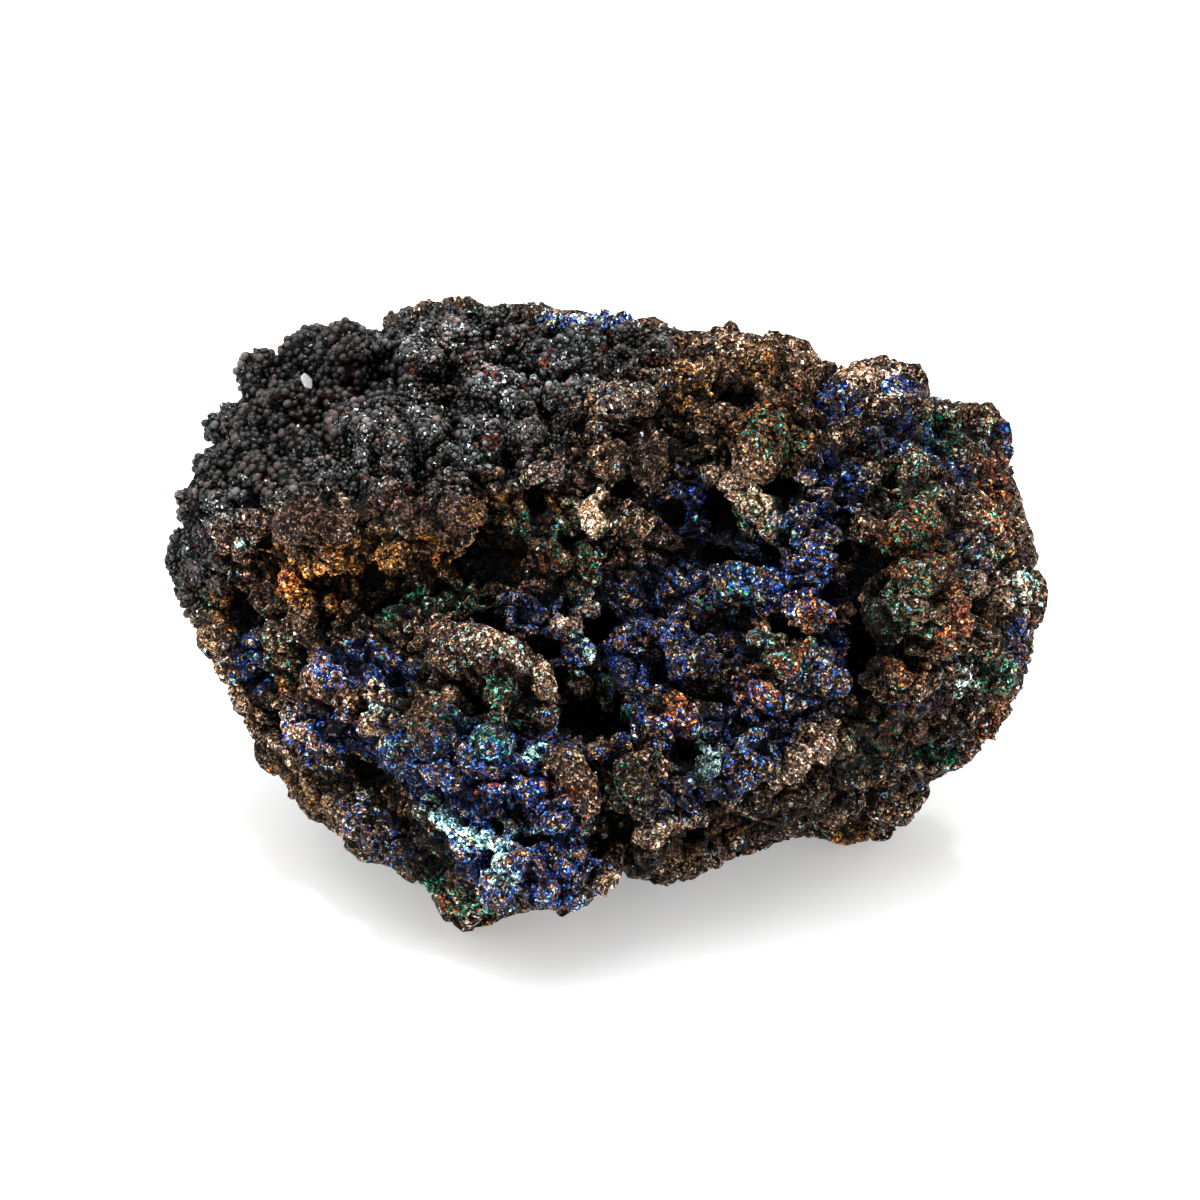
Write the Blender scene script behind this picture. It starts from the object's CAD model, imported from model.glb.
"""Looks of the azurite specimen: its rough skin, its crystals and beads, and the light it stands in.

Places on the stone are given in the grid of its best view, LAYOUT steps wide and high, and are carried
onto the stone along the line of sight. Lengths are in millimetres unless a name says otherwise, and
are turned into metres where a mesh is written.
"""

import itertools
import math
from collections import namedtuple

import bmesh
import bpy
import numpy as np
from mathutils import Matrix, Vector
from mathutils.bvhtree import BVHTree


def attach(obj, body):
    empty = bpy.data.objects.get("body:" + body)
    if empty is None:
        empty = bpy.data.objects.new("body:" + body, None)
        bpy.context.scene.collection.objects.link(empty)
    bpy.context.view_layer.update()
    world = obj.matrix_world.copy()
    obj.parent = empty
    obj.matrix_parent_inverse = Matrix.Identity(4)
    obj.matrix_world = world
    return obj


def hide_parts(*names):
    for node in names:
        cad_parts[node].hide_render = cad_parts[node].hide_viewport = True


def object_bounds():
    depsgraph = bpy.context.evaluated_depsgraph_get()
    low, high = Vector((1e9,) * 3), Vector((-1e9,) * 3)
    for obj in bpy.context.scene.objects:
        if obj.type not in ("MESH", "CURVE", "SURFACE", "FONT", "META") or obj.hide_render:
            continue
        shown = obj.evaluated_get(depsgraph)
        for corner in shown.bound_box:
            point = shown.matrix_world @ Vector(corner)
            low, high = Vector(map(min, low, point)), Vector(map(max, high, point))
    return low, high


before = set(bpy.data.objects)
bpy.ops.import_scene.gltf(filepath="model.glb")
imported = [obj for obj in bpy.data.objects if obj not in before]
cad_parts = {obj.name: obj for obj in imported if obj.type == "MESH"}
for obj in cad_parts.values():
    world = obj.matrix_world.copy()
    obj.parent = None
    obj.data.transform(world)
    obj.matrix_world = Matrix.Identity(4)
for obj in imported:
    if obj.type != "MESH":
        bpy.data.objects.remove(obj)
CAD_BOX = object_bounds()

MM = 0.001
NODE = "azurite_specimen"

# The best view, as the solid is laid out in.
WIDTH = 90.0
LAYOUT = 1200
OUTLINE_LEFT = 165
OUTLINE_RIGHT = 1042
STEP = WIDTH / (OUTLINE_RIGHT - OUTLINE_LEFT)
TILT = math.radians(22.0)
VIEW_DISTANCE = 420.0
BASE_HEIGHT = 26.6
RIGHT = np.array((1.0, 0.0, 0.0))
UP = np.array((0.0, math.sin(TILT), math.cos(TILT)))
TOWARDS = np.array((0.0, -math.cos(TILT), math.sin(TILT)))
AIM = np.array((0.0, 0.0, BASE_HEIGHT))
EYE = AIM + TOWARDS * VIEW_DISTANCE
SENSOR_MM = 36.0
VIEW_CELL = 6

# The skin's mesh, and how far it may leave the solid (mm).
SKIN_VOXEL = 0.32
SMOOTHING_STEPS = 9
EVENING_STEPS = 260
SKIN_TRIANGLES = 197000
DEEPEST_DENT = 3.0
HIGHEST_BUMP = 2.0
RIM_BUMP = 0.5
RAGGEDNESS = 0.3
DRAWN_OUT = 0.7
FILLING = 0.5
FILLED_HOLLOWS = (0.7, 2.4)

# The skin's relief: the size of each kind of cell and what it raises or cuts (mm).
SWELL_SIZE = 8.0
SWELL = 0.4
SUNK = 0.6
BULGE_LIMITS = (-0.8, 1.2)
KNUCKLE_SIZE = 5.6
LUMP_SIZE = 2.4
LUMPS_WAY = RIGHT * 0.72 - UP * 0.69
NUB_SIZE = 1.15
PIT_SIZE = 3.6
PIT_DEPTH = 1.7
PORE_SIZE = 1.7
PORE_DEPTH = 0.9
GRIT_SIZE = 0.7
GRIT_HEIGHT = 0.25

# The named knobs: their rise and the crease round them, as shares of their least half width, and how
# far they may go (mm). An edge covers the stone by a share of its profile.
KNOB_RISE = 0.34
CREASE_DEPTH = 0.12
CREASE_PLACE = 1.1
CREASE_WIDTH = 0.16
KNOB_LIMITS = (-0.8, 1.3)
EDGE_COVER = 0.75

# How many times the skin is smoothed for the fine, the broad and the widest forms that stand out of it.
NEAR_STEPS = 3
FAR_STEPS = 25
FARTHEST_STEPS = 220
# How light the stone is: in a crack, on a top, how sharply it turns between them, and the powers of
# two by which the light and the dark patches change it.
CRACK_TONE = 0.01
TOP_TONE = 2.25
TONE_TURN = 2.4
LIGHT_POWER = 1.5
DARK_POWER = 3.2

# The flecks, specks and clusters of the skin's material (mm).
FLECK_SIZE = 0.29
SPECK_SIZE = 0.42
CLUSTER_SIZE = 0.75

# What covers the stone, by kind. Each patch has its place, its reach across and up in the view (mm),
# its turn in degrees and how strongly it covers. The kinds light and dark only change the tone.
Patch = namedtuple("Patch", "kind x y reach_x reach_y turn amount")
COVERED = {
    "goethite": [
        (300, 395, 12, 8, 0, 1), (235, 450, 7, 7, 0, 1), (400, 355, 13, 6, 0, 1), (345, 445, 11, 5.5, 0, 1),
        (425, 435, 9, 6, 0, 1), (480, 375, 12, 8, 0, 1), (510, 425, 6, 5, 0, 0.9), (600, 350, 8, 3.2, 0, 1),
        (600, 392, 6.5, 4, 0, 0.45), (195, 545, 3.5, 6.5, 0, 1), (225, 495, 5.5, 3.5, 0, 1),
        (310, 485, 9, 2.2, 0, 0.9), (455, 480, 5, 3, 0, 0.7), (535, 460, 4, 3, 20, 0.6),
    ],
    "mauve": [
        (237, 527, 3.4, 4.2, 0, 0.9), (315, 520, 5, 2.6, -5, 1), (383, 490, 2.8, 2.8, -40, 1),
        (430, 518, 4, 2.2, 0, 1), (522, 410, 3.6, 3, -30, 0.5), (620, 440, 5, 4.5, 0, 0.45),
        (330, 368, 6.5, 3.5, 0, 0.35), (490, 662, 6.5, 3, -25, 0.7), (338, 682, 3.4, 2.6, 10, 0.95),
        (700, 350, 6, 2.4, 0, 0.5), (800, 805, 7, 3, 20, 0.4), (435, 722, 3, 2.2, 0, 0.7),
    ],
    "ochre": [
        (745, 400, 8, 5, 0, 0.18), (680, 360, 3, 2, 0, 0.4), (313, 580, 5.2, 3.3, -8, 1),
        (370, 557, 5, 2.5, 12, 1), (437, 560, 2.4, 2.6, 0, 0.7), (435, 538, 1.8, 0.9, 0, 0.9),
        (503, 508, 5, 1.8, 0, 0.55), (505, 558, 1.6, 2.2, 0, 0.8), (232, 610, 2.2, 2.2, 0, 0.7),
        (541, 331, 1.4, 0.8, 0, 0.8), (278, 690, 1.6, 1.4, 0, 0.6), (690, 397, 2.4, 2.4, 0, 0.45),
        (761, 372, 1.6, 2.4, 0, 0.5), (603, 764, 1.8, 1.3, 0, 0.7), (705, 835, 5.5, 1.8, 18, 0.8),
        (852, 831, 1.9, 1.1, 0, 1), (991, 624, 0.9, 1, 0, 1), (300, 790, 5, 2.2, -42, 0.4),
        (430, 722, 1.8, 1.8, 0, 0.4), (376, 722, 1.6, 2.6, 0, 0.6), (775, 436, 3.6, 2.6, 0, 0.45),
    ],
    "rust": [
        (520, 850, 5, 3, 0, 0.3), (285, 575, 2.2, 2, 0, 0.8), (925, 562, 5, 4.6, 0, 0.8),
        (1000, 535, 2.6, 3, 0, 0.8), (943, 610, 2.2, 1.3, -20, 1), (944, 641, 1.8, 1.2, -10, 0.9),
        (990, 466, 2, 1.5, 0, 0.9), (993, 492, 1.8, 1.6, 0, 1), (990, 717, 2.4, 2, 10, 0.9),
        (745, 618, 5, 1.4, -6, 0.6), (818, 615, 2, 3, 0, 0.5), (745, 690, 2.6, 1.6, 30, 0.7),
        (900, 725, 5, 4.4, 0, 0.7), (907, 667, 2.2, 1.4, 0, 0.7), (487, 781, 1.6, 1, 0, 0.9),
        (467, 794, 1.2, 0.8, 0, 0.9), (557, 795, 2.8, 0.8, 4, 0.8), (495, 868, 1.6, 1.2, 0, 0.6),
        (455, 893, 2.2, 2.4, 0, 0.5), (680, 735, 1, 2.8, 30, 0.8), (768, 425, 3.4, 2.4, -10, 0.5),
        (345, 362, 3, 1.6, 0, 0.4), (1018, 640, 1.8, 3.4, 10, 0.4), (560, 560, 3, 4.6, 0, 0.35),
    ],
    "azurite": [
        (588, 323, 5.6, 1.1, -4, 0.82), (838, 395, 2, 3.2, 0, 0.82), (895, 388, 3.2, 1.1, -6, 0.66),
        (910, 440, 3.8, 2.2, 0, 0.78), (958, 470, 2.2, 2.2, 0, 0.66), (1004, 440, 1.2, 1.6, 0, 0.57),
        (838, 480, 3.4, 3.4, 0, 0.78), (808, 515, 3.2, 3.4, 0, 0.74), (780, 572, 6.2, 4.4, -6, 0.82),
        (700, 515, 3, 4.2, 20, 0.7), (688, 585, 5.4, 3, 0, 0.74), (630, 640, 6.5, 5.5, 0, 0.78),
        (535, 610, 5, 2.8, 0, 0.61), (720, 640, 5, 3, 0, 0.49), (830, 655, 2.4, 3.2, 0, 0.66),
        (742, 735, 4.6, 4.4, 0, 0.7), (672, 738, 1.8, 2, 0, 0.74), (700, 790, 5, 2.2, 15, 0.7),
        (560, 740, 2.6, 3, 0, 0.57), (800, 700, 4.4, 2.8, 0, 0.49), (253, 655, 1.6, 4.2, 14, 0.82),
        (365, 665, 5.2, 2.2, -6, 1), (333, 732, 3.2, 2, -10, 0.9), (400, 760, 6, 3.2, -30, 1),
        (480, 765, 7, 4.4, -8, 1), (500, 815, 8, 3, -10, 1), (535, 875, 6.6, 3.2, 6, 1),
        (470, 860, 4, 2.2, -20, 1), (1013, 655, 2.2, 3.6, 12, 0.66), (968, 560, 2, 3.6, 0, 0.33),
        (915, 701, 3, 0.8, 4, 0.49), (296, 735, 3, 3.4, -20, 0.4), (385, 835, 5.6, 2.4, -38, 0.45),
    ],
    "malachite": [
        (536, 528, 2.2, 1.6, 0, 0.4), (575, 560, 3, 4.6, 0, 0.3), (772, 432, 3, 2.2, 0, 0.45),
        (765, 515, 2.6, 4, 20, 0.25), (905, 485, 3.8, 3, 0, 0.4), (950, 425, 3, 2.2, 0, 0.5),
        (935, 555, 4.4, 3.4, 0, 0.3), (905, 605, 3.4, 3.6, 0, 0.35), (1000, 545, 2.4, 4, 0, 0.25),
        (1000, 672, 2.2, 2.6, 0, 0.45), (932, 755, 2.2, 1.3, 10, 1), (868, 745, 3.4, 2.4, 0, 0.45),
        (885, 715, 3.4, 2.6, 0, 0.25), (492, 684, 1.8, 1.2, 0, 0.5), (510, 708, 3.4, 2, -30, 0.25),
        (445, 728, 3.2, 2, 0, 0.15), (493, 747, 1.6, 1, 0, 0.4), (433, 878, 1.5, 1.8, 0, 1),
        (470, 905, 2.2, 1.8, 0, 0.7), (615, 800, 3, 3.4, 0, 0.12), (730, 600, 3.4, 2, 0, 0.22),
        (780, 650, 4.4, 2.4, 0, 0.2), (275, 640, 2.6, 4, 0, 0.15), (212, 604, 1.4, 1.2, 0, 0.5),
        (450, 600, 4.6, 2, 0, 0.15),
    ],
    "turquoise": [
        (531, 757, 1.6, 0.9, 0, 0.9), (412, 745, 1.6, 0.8, -30, 0.3), (446, 822, 2.1, 1, -32, 1),
        (592, 321, 5.6, 1, 0, 0.25), (960, 680, 1.3, 2.2, 10, 0.35), (490, 662, 4.8, 2.6, -25, 0.15),
        (466, 832, 2.4, 1.2, -28, 1), (490, 845, 2.2, 1, -36, 1), (520, 835, 2.6, 1.4, -10, 0.5),
        (507, 875, 1.5, 1.2, 0, 0.5), (706, 752, 1.2, 2.2, 14, 0.9), (378, 710, 1.6, 0.9, 0, 0.8),
        (1014, 592, 2.2, 2.2, 0, 0.6), (247, 541, 0.9, 0.7, 0, 0.8), (277, 428, 0.45, 0.35, 0, 1),
    ],
    "tan": [
        (892, 480, 3.4, 2.4, 0, 0.5), (600, 503, 1.5, 2.2, -28, 1), (376, 692, 1.9, 1.1, -20, 0.9),
        (379, 732, 1.7, 1.6, 0, 0.9), (840, 750, 1.8, 1.2, 32, 0.9), (565, 615, 2.4, 0.7, 12, 0.8),
        (541, 690, 0.7, 2.6, 0, 0.7), (441, 698, 2, 1.2, 0, 0.6), (883, 375, 1.5, 0.6, 0, 1),
        (856, 378, 2.6, 1, 0, 0.4), (700, 355, 5.4, 2.6, 0, 0.35), (793, 362, 3.2, 2.8, 0, 0.4),
        (760, 505, 2, 4.4, 22, 0.45), (917, 605, 1.3, 1.3, 0, 0.7), (967, 587, 1.6, 1.6, 0, 0.7),
        (690, 822, 1.6, 0.5, 24, 0.8), (652, 838, 2.4, 0.5, 36, 0.7), (730, 806, 2.6, 0.5, 14, 0.7),
        (790, 766, 3.4, 0.5, 44, 0.8), (210, 638, 0.8, 3.2, 34, 0.7), (250, 712, 0.8, 3.4, 30, 0.6),
        (316, 414, 0.8, 0.35, 20, 1), (592, 880, 1.6, 0.7, 30, 0.6),
    ],
    "light": [
        (437, 352, 3.8, 2.6, 0, 1), (515, 386, 5.6, 3, 0, 1), (505, 430, 5.4, 2, 0, 0.45),
        (617, 398, 5.4, 3.8, 0, 0.5), (373, 441, 7, 4.2, 0, 0.5), (505, 480, 6.2, 2.6, 0, 0.85),
        (237, 528, 3.4, 4.2, 0, 0.7), (315, 584, 4.8, 2.9, 0, 0.9), (374, 556, 4.2, 2.6, 0, 0.25),
        (515, 770, 5.4, 3.4, 0, 0.15), (455, 888, 3.8, 3.6, 0, 0.6), (898, 484, 3.8, 3, 0, 0.2),
        (592, 321, 6.2, 1.8, 0, 1), (284, 640, 3.4, 5, 0, 0.35), (296, 733, 3.2, 3.6, 0, 0.6),
        (598, 505, 1.7, 2.4, -28, 0.6), (761, 512, 2.8, 3.6, 20, 0.35), (383, 490, 2.6, 2.2, -40, 0.5),
        (708, 378, 4.6, 3.8, 0, 0.3), (375, 668, 3.2, 2.6, 0, 0.35), (838, 478, 3.2, 3.6, 0, 0.15),
        (784, 580, 4.4, 2.6, 0, 0.4), (797, 617, 4.2, 2.8, 0, 0.4), (653, 736, 1.9, 2, 0, 0.35),
        (877, 386, 4.6, 2, 0, 1), (998, 535, 2.4, 2.8, 0, 0.35), (1016, 597, 1.9, 2, 0, 0.35),
        (960, 680, 1.5, 2.6, 10, 0.8), (340, 684, 3.2, 3, 0, 0.8), (470, 834, 4.2, 1.8, -32, 1),
        (630, 655, 5.2, 4, 0, 0.25), (384, 832, 6, 2.8, -38, 0.5),
    ],
    "dark": [
        (318, 366, 8.4, 4.6, 0, 0.35), (257, 446, 6.4, 4.6, 0, 0.35), (310, 526, 4.4, 2.4, 0, 0.08),
        (430, 518, 3.2, 1.9, 0, 0.2), (494, 507, 2.4, 2.8, 0, 0.4), (550, 555, 3, 4.2, 0, 0.4),
        (631, 460, 2.2, 2.2, 0, 0.35), (772, 435, 3.8, 2.8, 0, 0.15), (790, 378, 3, 3, 0, 0.15),
        (725, 670, 3.6, 3, 0, 0.2), (620, 794, 3, 3.2, 0, 0.45), (802, 802, 6.4, 2.8, 16, 0.5),
        (868, 645, 2.6, 5.6, -4, 1), (880, 632, 1.7, 4.6, -6, 1), (706, 800, 4.6, 1.6, 12, 0.15),
        (705, 832, 5.4, 2, 12, 0.7), (886, 435, 4.4, 1.6, 0, 0.25), (922, 563, 4.8, 4.6, 0, 0.3),
        (930, 640, 10, 8, 0, 0.1), (910, 735, 5.4, 5, 0, 0.45), (435, 723, 2.8, 2.2, 0, 0.3),
        (412, 750, 2.6, 2.4, 0, 0.2), (592, 710, 5, 3.6, 0, 1), (600, 628, 2.8, 1.4, 30, 1),
        (541, 645, 2.2, 1.8, 0, 0.9), (487, 618, 2, 1.5, 0, 0.9), (492, 548, 3, 2.4, 0, 0.6),
        (720, 500, 1.6, 3.4, 14, 1), (700, 552, 5, 1.8, -6, 0.8), (862, 640, 2.8, 5.4, -4, 1),
        (868, 575, 2.4, 3.4, -10, 0.8), (893, 516, 2.4, 1.1, -8, 1), (735, 400, 1.9, 1.7, 0, 1),
        (778, 480, 3, 1.1, -22, 0.7), (788, 630, 2.8, 1.2, -16, 0.9), (688, 756, 1.4, 2.6, 22, 0.8),
        (785, 800, 7, 2, 32, 0.6), (420, 850, 6.5, 2.6, -32, 0.55), (486, 728, 2.6, 1.6, -10, 0.7),
        (385, 605, 3.4, 1.6, 0, 0.6), (950, 700, 4.4, 1.2, 14, 0.6), (640, 862, 2.6, 1.4, 10, 0.7),
    ],
}
KINDS = tuple(COVERED)
PATCHES = [Patch(kind, *row) for kind, rows in COVERED.items() for row in rows]
# As shares of a patch's reach: how much its outline wanders, where it ends and is full, its depth
# along the view and how far to look for it.
PATCH_WANDER = 0.3
PATCH_EDGE = (1.3, 0.75)
PATCH_DEPTH = 1.5
PATCH_LIMIT = 2.2

# What covers the sides that the view doesn't show, in drifts: a kind, its share, and the values of its
# noise where it starts and is full.
DRIFT_SIZE = 11
UNSEEN = [
    ("mauve", 0.6, 0.05, 0.45), ("ochre", 0.8, 0.25, 0.55), ("rust", 0.7, 0.2, 0.55),
    ("azurite", 0.9, 0.05, 0.4), ("malachite", 0.55, 0.1, 0.5), ("turquoise", 0.6, 0.5, 0.7),
    ("tan", 0.5, 0.3, 0.6),
]

# Lumps that stand out in the view: place, half width and half height (mm) and turn (degrees).
Knob = namedtuple("Knob", "x y wide high turn")
KNOBS = [Knob(*row) for row in (
    (345, 434, 4.8, 3.6, 10), (404, 437, 4.8, 4.2, -25), (482, 418, 4.6, 3.6, -10), (434, 346, 5, 3, 8),
    (318, 518, 5.4, 3.4, -6), (238, 520, 3.8, 3.8, 10), (432, 515, 5.4, 3, 6), (263, 370, 2.2, 1.7, 20),
    (303, 345, 2.2, 1.5, 20), (222, 424, 2, 1.5, 10), (262, 474, 2.6, 1.6, -10), (300, 440, 1.8, 1.5, -10),
    (352, 468, 2.4, 1.6, 10), (378, 408, 2, 1.4, 20), (484, 375, 2.4, 1.6, -20), (520, 360, 2.8, 1.4, 14),
    (535, 395, 2.2, 1.6, -20), (457, 480, 2.1, 1.7, 0), (512, 440, 2.2, 1.6, -15), (595, 340, 6.4, 2.6, -4),
    (606, 412, 5.2, 3, 10), (633, 462, 4, 2.8, 0), (700, 362, 6.4, 4.2, -4), (784, 372, 4.6, 4.2, -25),
    (776, 433, 4.6, 3, -12), (878, 384, 5.2, 2.2, -3), (872, 411, 2.6, 1.7, 0), (908, 401, 2, 1.3, -10),
    (922, 424, 2.6, 1.9, -20), (963, 420, 2, 1.7, 0), (985, 422, 2, 2.2, 20), (1003, 441, 1.2, 1.4, 0),
    (995, 464, 1.9, 1, 0), (900, 468, 2.6, 2, -10), (868, 477, 1.9, 1.7, 0), (925, 506, 2, 1.6, 20),
    (866, 524, 1.9, 1.9, 0), (908, 535, 3.2, 3.2, 0), (926, 592, 4.4, 4.2, 10), (943, 614, 2.3, 1.7, -20),
    (940, 642, 2, 1.5, -20), (967, 587, 1.8, 1.8, 0), (958, 682, 1.6, 2.4, 20), (914, 668, 3.2, 2.4, 10),
    (984, 652, 1.8, 2, 0), (990, 532, 3, 3.4, 20), (1016, 598, 2.8, 4.4, 5), (985, 655, 3.2, 4.2, 25),
    (600, 512, 1.7, 2.2, -28), (558, 545, 2, 3.4, 12), (632, 522, 2, 2.4, 10), (668, 541, 2.1, 1.4, -15),
    (812, 556, 2.4, 1.9, -10), (806, 524, 2.5, 2.2, 0), (768, 580, 5.4, 3.4, -8), (697, 592, 4, 2.6, -10),
    (806, 612, 2.5, 1.8, -20), (760, 640, 2.6, 1.6, -15), (700, 665, 6.5, 3.4, -12),
    (665, 640, 2.5, 1.8, 0), (655, 739, 1.7, 2.1, 0), (843, 742, 2.1, 1.4, 30), (742, 765, 2.2, 1.8, 10),
    (790, 680, 5, 3.6, 20), (434, 699, 2.4, 1.5, -10), (378, 725, 2.2, 2.4, 10), (345, 715, 2.4, 1.6, -10),
    (333, 680, 3.6, 2.8, 15), (505, 705, 2.4, 1.5, -35), (482, 662, 6.4, 2.8, -24), (500, 790, 2.4, 1.5, 0),
    (545, 790, 4, 6, 18), (455, 745, 6.4, 4.4, -20), (540, 868, 6.2, 3.2, 6), (466, 893, 2.6, 3, 15),
    (636, 788, 3.6, 3.4, 0), (300, 582, 3, 2, -12), (345, 580, 2.6, 1.7, 0), (400, 560, 2.6, 1.7, 10),
    (440, 575, 2.2, 2, 0), (290, 640, 2, 3.4, -18), (290, 700, 2.2, 1.7, -30), (385, 825, 6.4, 2.6, -38),
    (405, 856, 2.8, 1.5, -28), (790, 805, 7.4, 2.6, 20), (898, 800, 3.4, 2.2, 25), (878, 829, 1.6, 1.2, 0),
    (852, 833, 1.7, 0.9, 10), (990, 712, 2.8, 2.4, 25),
)]

# Edges and seams that stand out as lines: what covers them, half width and height (mm), the line.
Edge = namedtuple("Edge", "kind wide high points")
EDGES = [
    Edge("tan", 0.45, 0.5, [(209, 522), (214, 502), (232, 494), (258, 499), (276, 510)]),
    Edge("tan", 0.45, 0.5, [(270, 506), (298, 500), (330, 499), (354, 507)]),
    Edge("mauve", 1.1, 0.8, [(455, 512), (475, 495), (505, 484), (535, 477), (560, 470)]),
    Edge("tan", 0.8, 1.1, [(744, 455), (770, 462), (792, 470), (812, 480), (824, 494)]),
    Edge("tan", 1.3, 1.4, [(718, 474), (738, 488), (752, 506), (766, 524), (780, 542)]),
    Edge("turquoise", 0.9, 1.2, [(692, 742), (701, 756), (703, 770), (697, 780)]),
    Edge("rust", 1.0, 1.2, [(670, 714), (680, 726), (690, 742)]),
    Edge("tan", 0.5, 1.0, [(598, 884), (622, 850), (650, 828), (690, 813), (730, 804), (764, 788),
                           (794, 758), (828, 728)]),
    Edge("mauve", 1.1, 0.9, [(438, 640), (468, 645), (505, 656), (534, 672), (544, 700), (546, 738),
                             (566, 772), (578, 812)]),
    Edge("tan", 0.4, 0.6, [(470, 640), (500, 652), (532, 666), (542, 690), (540, 712)]),
    Edge("turquoise", 0.7, 0.7, [(424, 806), (446, 824), (472, 838), (500, 850)]),
    Edge("tan", 0.7, 1.0, [(552, 622), (570, 617), (586, 609)]),
    Edge("turquoise", 0.6, 0.8, [(566, 624), (578, 640), (583, 660), (580, 676)]),
    Edge("azurite", 0.8, 0.8, [(632, 700), (640, 725), (630, 745), (612, 757), (590, 756)]),
    Edge("malachite", 0.8, 1.6, [(600, 688), (612, 702), (628, 716)]),
    Edge("tan", 0.5, 0.7, [(196, 596), (208, 642), (238, 690), (262, 726), (300, 772), (330, 806),
                           (344, 834)]),
    Edge("ochre", 0.5, 0.6, [(186, 590), (198, 622), (214, 650)]),
    Edge("tan", 0.45, 0.6, [(272, 706), (296, 726), (318, 748)]),
    Edge("mauve", 0.8, 0.8, [(285, 560), (300, 605), (318, 650), (352, 700)]),
    Edge("mauve", 0.7, 0.8, [(262, 592), (272, 630), (290, 668)]),
    Edge("rust", 0.35, 0.5, [(742, 660), (765, 668), (790, 664), (815, 650)]),
    Edge("rust", 0.35, 0.5, [(728, 644), (748, 656), (762, 674)]),
    Edge("rust", 0.35, 0.5, [(764, 608), (776, 612), (790, 618), (806, 630)]),
    Edge("mauve", 0.8, 0.8, [(840, 600), (846, 640), (842, 680), (852, 705)]),
    Edge("mauve", 0.5, 0.7, [(362, 466), (372, 484), (386, 498), (398, 505)]),
    Edge("goethite", 0.8, 0.9, [(552, 366), (585, 372), (620, 368), (652, 358)]),
    Edge("goethite", 0.7, 0.9, [(398, 372), (430, 368), (462, 356), (500, 352)]),
    Edge("goethite", 0.7, 0.9, [(420, 402), (446, 392), (470, 386), (500, 396), (525, 412)]),
    Edge("goethite", 0.6, 0.8, [(470, 372), (500, 382), (530, 398), (556, 408)]),
    Edge("malachite", 0.8, 0.9, [(384, 612), (412, 600), (444, 598), (470, 610)]),
    Edge("tan", 0.8, 0.6, [(984, 580), (1006, 592), (1018, 612)]),
]


def scrambled(keys):
    """Whole numbers of 64 bits, each well mixed."""
    keys = (keys ^ (keys >> np.uint64(30))) * np.uint64(0xBF58476D1CE4E5B9)
    keys = (keys ^ (keys >> np.uint64(27))) * np.uint64(0x94D049BB133111EB)
    return keys ^ (keys >> np.uint64(31))


def cell_numbers(cells, seed, count):
    """For each cell of a grid, some numbers spread evenly from 0 to 1."""
    cells = cells.astype(np.int64).astype(np.uint64)
    keys = cells[:, 0] * np.uint64(0x9E3779B97F4A7C15)
    keys = scrambled(keys + cells[:, 1])
    keys = scrambled(keys + cells[:, 2] + np.uint64(seed * 7919))
    found = []
    for _ in range(count):
        keys = scrambled(keys + np.uint64(0x9E3779B97F4A7C15))
        found.append((keys >> np.uint64(11)).astype(np.float64) / 2**53)
    return np.stack(found, axis=1)


def soft_noise(points, size, seed):
    """Smooth noise from -1 to 1 with features of this size."""
    scaled = points / size
    low = np.floor(scaled)
    part = scaled - low
    part = part * part * (3 - 2 * part)
    total = np.zeros(len(points))
    for corner in itertools.product((0, 1), repeat=3):
        share = np.prod(np.where(np.array(corner) == 1, part, 1 - part), axis=1)
        total += share * cell_numbers(low + corner, seed, 1)[:, 0]
    return 2 * total - 1


def rough_noise(points, size, seed, layers):
    """Soft noise with finer and weaker layers on it."""
    total = np.zeros(len(points))
    for layer in range(layers):
        total += soft_noise(points, size / 2**layer, seed + layer) / 2**layer
    return total


def nearest_cells(points, size, seed):
    """Distance to the nearest and to the next seed point of an uneven grid, as shares of the grid's
    size, and a random number that belongs to the nearest."""
    scaled = points / size
    low = np.floor(scaled)
    nearest = np.full(len(points), 9.0)
    second = np.full(len(points), 9.0)
    own = np.zeros(len(points))
    for offset in itertools.product((-1, 0, 1), repeat=3):
        numbers = cell_numbers(low + offset, seed, 4)
        distance = np.linalg.norm(low + offset + numbers[:, :3] - scaled, axis=1)
        closer = distance < nearest
        second = np.where(closer, nearest, np.minimum(second, distance))
        own = np.where(closer, numbers[:, 3], own)
        nearest = np.where(closer, distance, nearest)
    return nearest, second, own


def ramp(values, start, end):
    """0 at start and 1 at end, with a smooth turn at both."""
    share = np.clip((values - start) / (end - start), 0, 1)
    return share * share * (3 - 2 * share)


def dome(distance, reach):
    return np.sqrt(np.clip(1 - (distance / reach) ** 2, 0, 1))


def cad_tree():
    """The solid as a tree for ray casts, in millimetres."""
    bm = bmesh.new()
    bm.from_mesh(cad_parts[NODE].data)
    bmesh.ops.scale(bm, vec=(1 / MM,) * 3, verts=bm.verts)
    tree = BVHTree.FromBMesh(bm)
    bm.free()
    return tree


def seat(tree, x, y):
    """The point and normal of the stone that the view shows at a place, or its nearest."""
    across = (x - LAYOUT / 2) * STEP
    up = (LAYOUT / 2 - y) * STEP
    aimed = RIGHT * across + UP * up
    sight = Vector(aimed - TOWARDS * VIEW_DISTANCE).normalized()
    point, normal, _, _ = tree.ray_cast(Vector(EYE), sight)
    if point is None:
        point, normal, _, _ = tree.find_nearest(Vector(AIM + aimed))
    return np.array(point), np.array(normal)


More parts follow.
